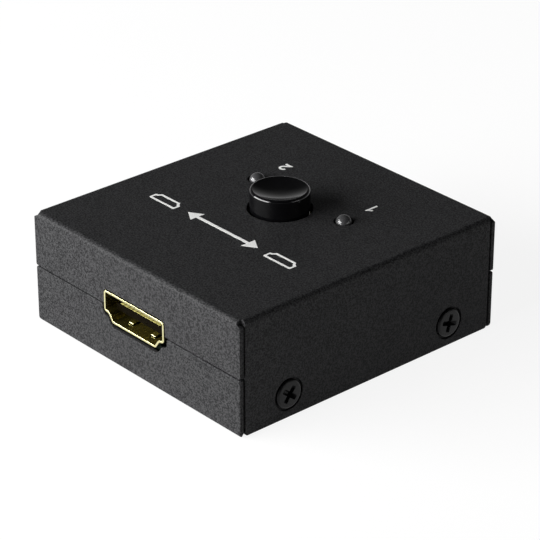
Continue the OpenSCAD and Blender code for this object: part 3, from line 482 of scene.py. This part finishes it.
def shellPart(turned, centre):  # distance along the outline becomes x and z, depth becomes y
    path = roundOff(socketCorners(0.0), 8)
    start = np.flatnonzero((path[:, 0] > 0) & (path[:, 1] > 0))[0]  # begin in the middle of the roof
    path = np.concatenate([[(0.0, socket["height"] / 2)], np.roll(path, -start, 0)])
    normals = sideNormals(path)
    path, normals = np.vstack([path, path[:1]]), np.vstack([normals, normals[:1]])
    run = np.concatenate([[0], np.cumsum(np.linalg.norm(np.diff(path, axis=0), axis=1))])
    total, length = run[-1], socket["length"]
    halfF, slot, tip = socket["fingerWidth"] / 2, socket["fingerSlot"], socket["fingerTip"]
    root = tip + socket["fingerLength"]
    pitch = socket["fingerPitch"] / 2
    fingerAt = np.array([pitch, total / 2 - pitch, total / 2 + pitch, total - pitch])
    outer = np.array([(0, 0), (total, 0), (total, length), (0, length)], float)
    slotCorners = np.array([(-halfF - slot, root), (-halfF - slot, tip - slot), (halfF + slot, tip - slot),
                            (halfF + slot, root), (halfF, root), (halfF, tip), (-halfF, tip), (-halfF, root)])
    loops = [outer] + [slotCorners[::-1] + (at, 0) for at in fingerAt]
    creases = [(0, s, -1, length + 1) for s in run[1:-1]]
    creases += [(1, d, at - halfF - 1e-6, at + halfF + 1e-6)
                for at in fingerAt for d in np.linspace(tip, root, 15)[1:-1]]

    def shape(u, v, w):  # fingers rise smoothly to a crest near the tip, and roll off at the tip
        aside = np.abs(u[:, None] - fingerAt).min(1)
        crest = tip + socket["fingerLength"] / 4
        rise = np.clip((root - v) / (root - crest), 0, 1)
        roll = np.clip((crest - v) / (crest - tip), 0, 1)
        bump = socket["fingerReach"] * (rise * rise * (3 - 2 * rise) - socket["fingerRoll"] * roll * roll)
        finger = (aside < halfF + slot / 2) & (v > tip - slot / 2) & (v < root)
        out = w - np.where(finger, bump, 0)
        x = np.interp(u, run, path[:, 0]) + out * np.interp(u, run, normals[:, 0])
        z = np.interp(u, run, path[:, 1]) + out * np.interp(u, run, normals[:, 1])
        return placeSocket(x, v, z, turned, centre)

    parts = [formSheet(loops, creases, shape, socket["wall"], socket["edge"])]
    inside = len(parts[0][1]) - 1  # the sheet's inner face is its last block
    halfW, wall = socket["width"] / 2, socket["wall"]
    quads = np.array([(0, 1, 3, 2), (4, 6, 7, 5), (0, 4, 5, 1), (2, 3, 7, 6), (0, 2, 6, 4), (1, 5, 7, 3)])
    for side in (-1, 1):
        for place in socket["legPlaces"]:
            xs = np.array([-wall, 0]) if side > 0 else np.array([0, wall])
            ys = place + np.array([-0.5, 0.5]) * socket["legWidth"]
            zs = np.array([socket["legFoot"] - socket["middle"], socket["legTop"]])
            corner = np.stack(np.meshgrid(side * halfW + xs, ys, zs, indexing="ij"), -1).reshape(-1, 3)
            corner = np.stack(placeSocket(*corner.T, turned, centre), 1)
            parts.append((corner, [quads]))
    return joinParts(parts), inside


def placeSocket(x, y, z, turned, centre):  # a socket's own axes (mouth at y = 0) to the case's
    if turned:
        return centre - x, socket["mouth"] - y, socket["middle"] + z
    return centre + x, y - socket["mouth"], socket["middle"] + z


shellPlaces = {"commonShell": (False, 0.0, "common_shell"),
               "portOneShell": (True, socket["ports"][0], "port_1_shell"),
               "portTwoShell": (True, socket["ports"][1], "port_2_shell")}
for name, (turned, centre, node) in shellPlaces.items():
    part, inside = shellPart(turned, centre)
    # the inner face takes the darker gold that paints the shade inside the socket
    putPiece(name, part, finish["flashGold"], "case", [node], 50.0,
             (inside, finish["shadedGold"]))


# Button cap: turned profile with a dished top and a hollow underside

cap = dict(radius=5.0, top=23.7, bottom=17.7, edge=0.45, chamfer=0.15,
           dishRadius=4.55, dishDepth=0.7, dishPower=2.3, wall=1.0, roof=1.6,
           bossRadius=3.0, boreRadius=2.36, boreTop=21.74, place=(0.0, 3.4))


def capPart():  # the hollow's steps, the rounded rim and the dish as one profile, turned about Z
    rim, chamfer = cap["edge"], cap["chamfer"]
    outer = arc(cap["radius"] - rim, cap["top"] - rim, rim, 0, 95, 14)
    share = np.linspace(0.98, 0, 40)  # the dish deepens with a power of the radius, steepest at its rim
    sink = cap["dishDepth"] * (1 - share ** cap["dishPower"])
    dish = np.stack([share * cap["dishRadius"], cap["top"] - sink], 1)
    inside = cap["radius"] - cap["wall"]
    ceiling = cap["top"] - cap["roof"]
    hollow = [(0, cap["boreTop"]), (cap["boreRadius"], cap["boreTop"]), (cap["boreRadius"], cap["bottom"]),
              (cap["bossRadius"], cap["bottom"]), (cap["bossRadius"], ceiling), (inside, ceiling),
              (inside, cap["bottom"]), (cap["radius"] - chamfer, cap["bottom"]),
              (cap["radius"], cap["bottom"] + chamfer)]
    points, faces = spin(np.concatenate([hollow, outer, dish]), 128)
    return points + (*cap["place"], 0), faces


buttonDish = putPiece("buttonDish", capPart(), finish["polishedAbs"], "button", ["button_cap"],
                      sharp=50.0)


# Return spring: round wire along a helix, built at rest; nothing here shortens it as the button goes down

coil = dict(radius=1.6, wire=0.4, turns=4, foot=8.4, top=13.5, travel=1.8, place=(0.0, 3.4))


def coilPart():  # the wire's circle stands square to the helix, and each end is drawn to a point
    turn = np.linspace(0, 2 * math.pi * coil["turns"], 48 * coil["turns"] + 1)
    turn = np.concatenate([turn[:1], turn, turn[-1:]])
    size = np.full(len(turn), coil["wire"] / 2)
    size[[0, -1]] = 0
    radius, climb = coil["radius"], (coil["top"] - coil["foot"] - coil["wire"]) / turn[-1]
    out = np.stack([np.cos(turn), np.sin(turn), 0 * turn], 1)
    up = np.stack([climb * np.sin(turn), -climb * np.cos(turn), 0 * turn + radius], 1)
    up = up / math.hypot(radius, climb)
    spoke = np.linspace(0, 2 * math.pi, 12, endpoint=False)[:, None]
    ring = np.cos(spoke) * out[:, None] + np.sin(spoke) * up[:, None]
    centre = radius * out + np.outer(climb * turn + coil["foot"] + coil["wire"] / 2, (0, 0, 1))
    points = centre[:, None] + size[:, None, None] * ring
    return points.reshape(-1, 3) + (*coil["place"], 0), [gridFaces(len(turn), len(spoke))[:, ::-1]]


springCoil = putPiece("springCoil", coilPart(), finish["drawnSteel"], "case",
                      ["switch_spring"])
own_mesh(springCoil)


# Lamps: flanged epoxy body with a round dome

lamp = dict(radius=1.35, tip=21.3, foot=16.0, flange=1.85, flangeHeight=1.0, edge=0.12,
            places=((10.6, 7.8), (-10.6, 7.8)))


def lampPart(place):  # flange, cylinder and half-round dome, turned about Z
    dome = arc(0, lamp["tip"] - lamp["radius"], lamp["radius"], 0, 90, 20)
    shoulder = lamp["foot"] + lamp["flangeHeight"]
    edge = lamp["edge"]
    flange = np.concatenate([arc(lamp["flange"] - edge, lamp["foot"] + edge, edge, -90, 0, 4),
                             arc(lamp["flange"] - edge, shoulder - edge, edge, 0, 90, 4)])
    profile = np.concatenate([[(0, lamp["foot"])], flange, [(lamp["radius"], shoulder)], dome])
    points, faces = spin(profile, 64)
    return points + (*place, 0), faces


for number, place in enumerate(lamp["places"], 1):
    putPiece(f"lampLens{number}", lampPart(place), finish["castEpoxy"], "case",
             [f"led_{number}"])


# Side screws: polar grid, the recess a four-armed radius that narrows as it goes down

screw = dict(head=2.5, height=0.65, rim=0.42, shank=1.25, length=2.8, armLength=1.55, armHalf=0.38, depth=1.1,
             footLength=0.7, footHalf=0.2, tipChamfer=0.2, lip=0.05, lipShare=0.2, point=0.1,
             nearTurn=52.0, farTurn=73.0)


def screwPart(side, end):  # rows of radius by angle: shank, head, then the recess down to a point
    turn = np.linspace(0, 2 * math.pi, 256, endpoint=False)
    arm = np.abs((turn + math.pi / 4) % (math.pi / 2) - math.pi / 4)  # angle to the nearest arm

    def cross(length, half):  # the nearer of an arm's end and its side, blended at the corner
        ends = length / np.cos(arm)
        sides = half / np.maximum(np.sin(arm), 1e-3)
        return (ends ** -10 + sides ** -10) ** -0.1

    rim, top = screw["rim"], screw["height"]
    shank, tip = screw["shank"], screw["tipChamfer"]
    body = np.concatenate([[(0, -screw["length"]), (shank - tip, -screw["length"]),
                            (shank, tip - screw["length"]), (shank, 0.0), (screw["head"], 0.0)],
                           arc(screw["head"] - rim, top - rim, rim, 0, 90, 8)])
    radii = [np.full(len(turn), r) for r in body[:, 0]]
    heights = list(body[:, 1])
    for share in (0.0, 0.06, 0.2, 0.6, 1.0):  # walls of the recess, with a soft lip at the top
        lipStep = screw["lip"] * (1 - min(share / screw["lipShare"], 1)) ** 2
        radii.append(cross(screw["armLength"] + (screw["footLength"] - screw["armLength"]) * share + lipStep,
                           screw["armHalf"] + (screw["footHalf"] - screw["armHalf"]) * share + lipStep))
        heights.append(top - screw["depth"] * share)
    radii.append(np.zeros(len(turn)))
    heights.append(top - screw["depth"] - screw["point"])
    r, h = np.array(radii), np.repeat(np.array(heights)[:, None], len(turn), 1)
    angle = turn + side * math.radians(screw["nearTurn"] if end < 0 else screw["farTurn"])
    seat = cover["width"] / 2 - cover["seatDepth"]
    points = np.stack([side * (seat + h), end * cover["screwY"] + side * r * np.cos(angle),
                       cover["screwZ"] + r * np.sin(angle)], -1)
    return points.reshape(-1, 3), [gridFaces(len(heights), len(turn))]


screwSet = joinParts([screwPart(side, end) for side in (-1, 1) for end in (-1, 1)])
sideScrews = putPiece("sideScrews", screwSet, finish["blackOxide"], "case", ["cover_screws"],
                      sharp=35.0)


# Print on the cover: two numerals and a plain flow sign, in flat ink

ink = dict(thick=0.03, above=0.022, edge=0.008, stroke=0.42,
           oneAt=(10.9, 15.65), twoAt=(-10.2, 15.45), signAt=(0.0, -8.9), markScale=0.42, markAside=14.2)


def ribbon(path, width):  # the left and right sides of a stroke of even width along an open path
    along = np.diff(path, axis=0)
    along = along / np.linalg.norm(along, axis=1, keepdims=True)
    side = np.stack([-along[:, 1], along[:, 0]], 1)
    first, last = np.vstack([side[:1], side]), np.vstack([side, side[-1:]])
    offset = (first + last) / (1 + (first * last).sum(1, keepdims=True)) * width / 2
    return path + offset, path - offset


def socketMark(inset):  # the socket's outline at the sign's scale, its roof towards -Y as the print reads
    scale = ink["markScale"]
    corners = socketCorners(-inset / scale) * (scale, -scale, scale)
    corners[:, 2] = np.clip(corners[:, 2], 0.06, 0.4)
    return roundOff(corners)


def printPart():  # outlines of the numerals, the arrow and the two marks, cut as a thin sheet
    one = np.array([(0.55, 0), (0.95, 0), (0.95, 2.55), (0.68, 2.55), (0.45, 2.25), (0, 1.95), (0, 1.58),
                    (0.32, 1.72), (0.55, 1.92)])
    bowl = arc(0.8, 1.5, 0.58, 170, -40, 16)
    bend = np.linspace(0, 1, 16)[1:, None]
    knee, toe = np.array([1.0, 0.85]), np.array([0.3, 0.22])
    tail = (1 - bend) ** 2 * bowl[-1] + 2 * bend * (1 - bend) * knee + bend ** 2 * toe
    outer, inner = ribbon(np.concatenate([bowl, tail]), ink["stroke"])
    bar = [(1.58, ink["stroke"]), (1.58, 0), (0, 0), (0, 0.22)]
    outer, inner = (edge[edge[:, 1] > ink["stroke"]] for edge in (outer, inner))
    two = np.concatenate([outer, bar, inner[::-1]])
    spots = [(one, ink["oneAt"]), (two, ink["twoAt"])]
    loops = [np.array(at) - glyph for glyph, at in spots]  # read from the far side: up is -Y, right is -X

    sx, sy = ink["signAt"]
    half, headLength, headHalf, stem = 8.6, 2.4, 1.5, 0.3
    neck = half - headLength
    arrow = [(half, 0), (neck, headHalf), (neck, stem), (-neck, stem), (-neck, headHalf),
             (-half, 0), (-neck, -headHalf), (-neck, -stem), (neck, -stem), (neck, -headHalf)]
    loops.append(np.array(arrow) + (sx, sy))
    holes = []
    for x in (ink["markAside"], -ink["markAside"]):
        loops.append(socketMark(0.0) + (sx + x, sy))
        holes.append(socketMark(ink["stroke"]) + (sx + x, sy))
    area = lambda p: (p[:, 0] * np.roll(p[:, 1], -1) - np.roll(p[:, 0], -1) * p[:, 1]).sum()  # twice it
    loops = [p if area(p) > 0 else p[::-1] for p in loops]
    holes = [p if area(p) < 0 else p[::-1] for p in holes]

    def shape(u, v, w):
        return u, v, cover["height"] + ink["above"] + w

    return formSheet(loops + holes, [], shape, ink["thick"], ink["edge"], 1)


coverPrint = putPiece("coverPrint", printPart(), finish["screenInk"], "case")


# Finishes of the solids that stay

# the circuit board takes the green solder mask darkened to paint the shade inside the case
nodeFinish = {
    "circuit_board": "shadedSolderMask", "board_standoffs": "zincSteel", "board_screws": "zincSteel",
    "common_insulator": "blackPolymer", "port_1_insulator": "blackPolymer",
    "port_2_insulator": "blackPolymer", "common_contacts": "contactGold",
    "port_1_contacts": "contactGold", "port_2_contacts": "contactGold",
    "switch_plunger": "whiteAcetal", "contact_bridge": "rolledBrass",
    "switch_housing": "blackPolymer", "switch_frame": "zincSteel", "switch_terminals": "tinDip",
    "led_leads": "tinDip", "led_spacers": "whiteAcetal", "switch_ic": "filledEpoxy",
    "controller_ic": "filledEpoxy", "ic_leads": "tinDip", "chip_resistors": "firedGlaze",
    "chip_capacitors": "firedCeramic",
}
for node, name in nodeFinish.items():
    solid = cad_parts[node].data
    solid.materials.clear()
    solid.materials.append(finish[name])
print("solids finished:", len(nodeFinish))


# Stage: pale floor, studio light, camera

stage = dict(floorHalf=1500.0, floorGlow=0.88, seenTone="#6b6b6b", clothTone="#eeeeec",
             ceiling=0.03, horizon=0.7, ceilingStart=0.52, horizonPower=1.5,
             front=(0.75, -0.66), floorFades=(90.0, 160.0), skyFades=(0.1, 0.7), frontDim=0.12)


def makeFloor():  # pale cloth, lifted to white for the eye and for mirrors
    half = stage["floorHalf"] * mm
    mesh = bpy.data.meshes.new("paleFloor")
    corners = [(-half, -half, 0), (half, -half, 0), (half, half, 0), (-half, half, 0)]
    mesh.from_pydata(corners, [], [(0, 1, 2, 3)])
    material = bpy.data.materials.new("paleFloor")
    material.use_nodes = True
    tree = material.node_tree
    tree.nodes.clear()
    path = addNode(tree, "ShaderNodeLightPath")
    mirrored = addNode(tree, "ShaderNodeMath", {"operation": "MAXIMUM"},
                       {0: path.outputs["Is Glossy Ray"], 1: path.outputs["Is Transmission Ray"]})
    seen = addNode(tree, "ShaderNodeMath", {"operation": "MAXIMUM"},
                   {0: path.outputs["Is Camera Ray"], 1: mirrored.outputs[0]})
    coords = addNode(tree, "ShaderNodeTexCoord")
    ahead = addNode(tree, "ShaderNodeVectorMath", {"operation": "DOT_PRODUCT", 1: (*stage["front"], 0.0)},
                    {0: coords.outputs["Object"]})
    near, far = (reach * mm for reach in stage["floorFades"])
    fade = addNode(tree, "ShaderNodeMapRange",
                   {"interpolation_type": "SMOOTHSTEP", "From Min": near, "From Max": far,
                    "To Min": stage["floorGlow"], "To Max": stage["frontDim"]},
                   {"Value": ahead.outputs["Value"]})
    shown = addNode(tree, "ShaderNodeMath", {"operation": "MULTIPLY", 1: stage["floorGlow"]},
                    {0: path.outputs["Is Camera Ray"]})
    level = addNode(tree, "ShaderNodeMath", {"operation": "MULTIPLY_ADD"},
                    {0: fade.outputs[0], 1: mirrored.outputs[0], 2: shown.outputs[0]})
    glow = addNode(tree, "ShaderNodeEmission", {"Color": (1, 1, 1, 1)}, {"Strength": level.outputs[0]})
    tone = addNode(tree, "ShaderNodeMix", {"data_type": "RGBA", 6: linear(stage["clothTone"]),
                                           7: linear(stage["seenTone"])}, {0: seen.outputs[0]})
    cloth = addNode(tree, "ShaderNodeBsdfDiffuse", {}, {"Color": tone.outputs[2]})
    both = addNode(tree, "ShaderNodeAddShader", {}, {0: glow.outputs[0], 1: cloth.outputs[0]})
    side = addNode(tree, "ShaderNodeNewGeometry")
    clear = addNode(tree, "ShaderNodeBsdfTransparent")
    oneSided = addNode(tree, "ShaderNodeMixShader", {},
                       {0: side.outputs["Backfacing"], 1: both.outputs[0], 2: clear.outputs[0]})
    addNode(tree, "ShaderNodeOutputMaterial", {}, {"Surface": oneSided.outputs[0]})
    mesh.materials.append(material)
    floor = bpy.data.objects.new("paleFloor", mesh)
    bpy.context.scene.collection.objects.link(floor)


def makeWorld():  # pale near the horizon, darker with height, and dim behind the camera
    world = bpy.data.worlds.new("studio")
    bpy.context.scene.world = world
    world.use_nodes = True
    tree = world.node_tree
    tree.nodes.clear()
    coords = addNode(tree, "ShaderNodeTexCoord")
    split = addNode(tree, "ShaderNodeSeparateXYZ", {}, {0: coords.outputs["Generated"]})
    under = addNode(tree, "ShaderNodeMapRange",
                    {"From Min": 0.0, "From Max": stage["ceilingStart"], "To Min": 1.0, "To Max": 0.0},
                    {"Value": split.outputs["Z"]})
    under = addNode(tree, "ShaderNodeMath", {"operation": "POWER", 1: stage["horizonPower"]},
                    {0: under.outputs[0]})
    fade = addNode(tree, "ShaderNodeMath", {"operation": "MULTIPLY_ADD", 1: stage["horizon"],
                                            2: stage["ceiling"]}, {0: under.outputs[0]})
    ahead = addNode(tree, "ShaderNodeVectorMath", {"operation": "DOT_PRODUCT", 1: (*stage["front"], 0.0)},
                    {0: coords.outputs["Generated"]})
    clear, full = stage["skyFades"]
    dim = addNode(tree, "ShaderNodeMapRange",
                  {"interpolation_type": "SMOOTHSTEP", "From Min": clear, "From Max": full,
                   "To Min": 1.0, "To Max": stage["frontDim"]}, {"Value": ahead.outputs["Value"]})
    fade = addNode(tree, "ShaderNodeMath", {"operation": "MULTIPLY"}, {0: fade.outputs[0], 1: dim.outputs[0]})
    path = addNode(tree, "ShaderNodeLightPath")
    level = addNode(tree, "ShaderNodeMath", {"operation": "MAXIMUM"},
                    {0: path.outputs["Is Camera Ray"], 1: fade.outputs[0]})
    sky = addNode(tree, "ShaderNodeBackground", {"Color": (1, 1, 1, 1)}, {"Strength": level.outputs[0]})
    addNode(tree, "ShaderNodeOutputWorld", {}, {"Surface": sky.outputs[0]})


softboxes = {  # direction from the object, distance and size in mm, level on a surface that faces it
    "keyBox": dict(toward=(-0.42, -0.86, 0.29), distance=700.0, size=(900.0, 420.0), level=3.5),
    "sideStrip": dict(toward=(0.93, 0.3, 0.22), distance=800.0, size=(420.0, 90.0), level=0.08),
}


def makeLights():  # a box of power level * (pi * distance) squared gives that level where it shines square on
    for name, box in softboxes.items():
        light = bpy.data.lights.new(name, "AREA")
        light.shape = "RECTANGLE"
        light.size, light.size_y = box["size"][0] * mm, box["size"][1] * mm
        light.energy = box["level"] * (math.pi * box["distance"] * mm) ** 2
        holder = bpy.data.objects.new(name, light)
        direction = Vector(box["toward"]).normalized()
        holder.location = direction * box["distance"] * mm
        holder.rotation_euler = direction.to_track_quat("Z", "Y").to_euler()
        holder.visible_camera = False
        bpy.context.scene.collection.objects.link(holder)


view = dict(azimuth=48.73, elevation=27.38, distance=426.6, middle=10.1, lens=173.33, sensor=36.0, nearest=0.01,
            aside=0.935, below=0.184)


def makeCamera():  # on a line from the case's middle, aimed a little aside of and below it
    az, el = math.radians(view["azimuth"]), math.radians(view["elevation"])
    back = Vector((math.sin(az) * math.cos(el), -math.cos(az) * math.cos(el), math.sin(el)))
    right = Vector((math.cos(az), math.sin(az), 0))
    middle = Vector((0, 0, view["middle"]))
    aim = middle + right * view["aside"] - back.cross(right) * view["below"]
    place = middle + back * view["distance"]
    lens = bpy.data.cameras.new("camera")
    lens.lens, lens.sensor_width, lens.clip_start = view["lens"], view["sensor"], view["nearest"]
    camera = bpy.data.objects.new("camera", lens)
    camera.location = place * mm
    camera.rotation_euler = (aim - place).to_track_quat("-Z", "Y").to_euler()
    bpy.context.scene.collection.objects.link(camera)
    bpy.context.scene.camera = camera


makeFloor()
makeWorld()
makeLights()
makeCamera()
bpy.context.scene.view_settings.view_transform = "Standard"
print("stage set")

bpy.context.view_layer.update()
